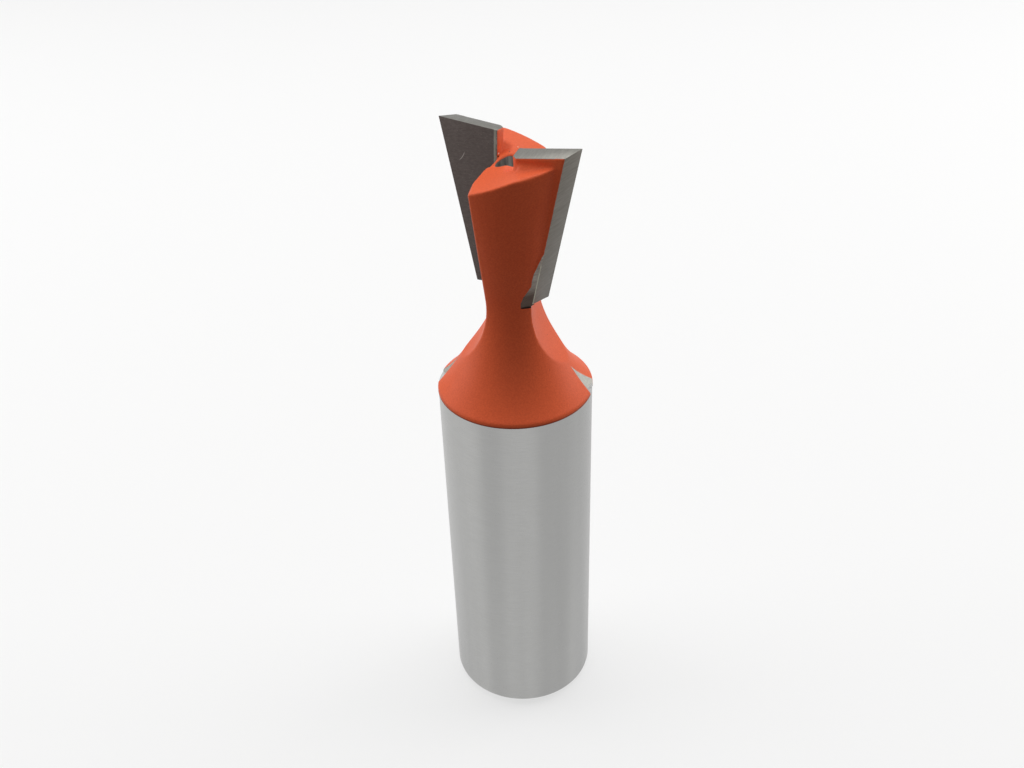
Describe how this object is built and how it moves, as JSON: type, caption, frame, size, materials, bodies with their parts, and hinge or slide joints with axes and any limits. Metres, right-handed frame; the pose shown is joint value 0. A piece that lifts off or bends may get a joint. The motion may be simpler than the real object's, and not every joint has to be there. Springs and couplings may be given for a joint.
{
  "type": "dovetail router bit",
  "caption": "Straight-tipped dovetail router bit: a painted waisted steel head with brazed carbide tips, each in front of a round-bottomed gullet, on a plain cylindrical shank.",
  "frame": {"origin": "centre of the shank's end face, on the axis of rotation", "axes": "+Z along the axis from the shank's end to the cutting end, +X across the tips, +Y the way the cutting edge on the +X side moves"},
  "size_m": [0.0126, 0.0126, 0.0539],
  "materials": {
    "body": "satin orange paint on the head, ground steel on the shank",
    "carbide": "finely ground carbide",
    "braze": "silver braze, ground flush"
  },
  "bodies": {
    "root": {"body": "body", "carbide_tip_1": "carbide", "carbide_tip_2": "carbide", "braze_seam_1": "braze", "braze_seam_2": "braze"}
  },
  "joints": []
}
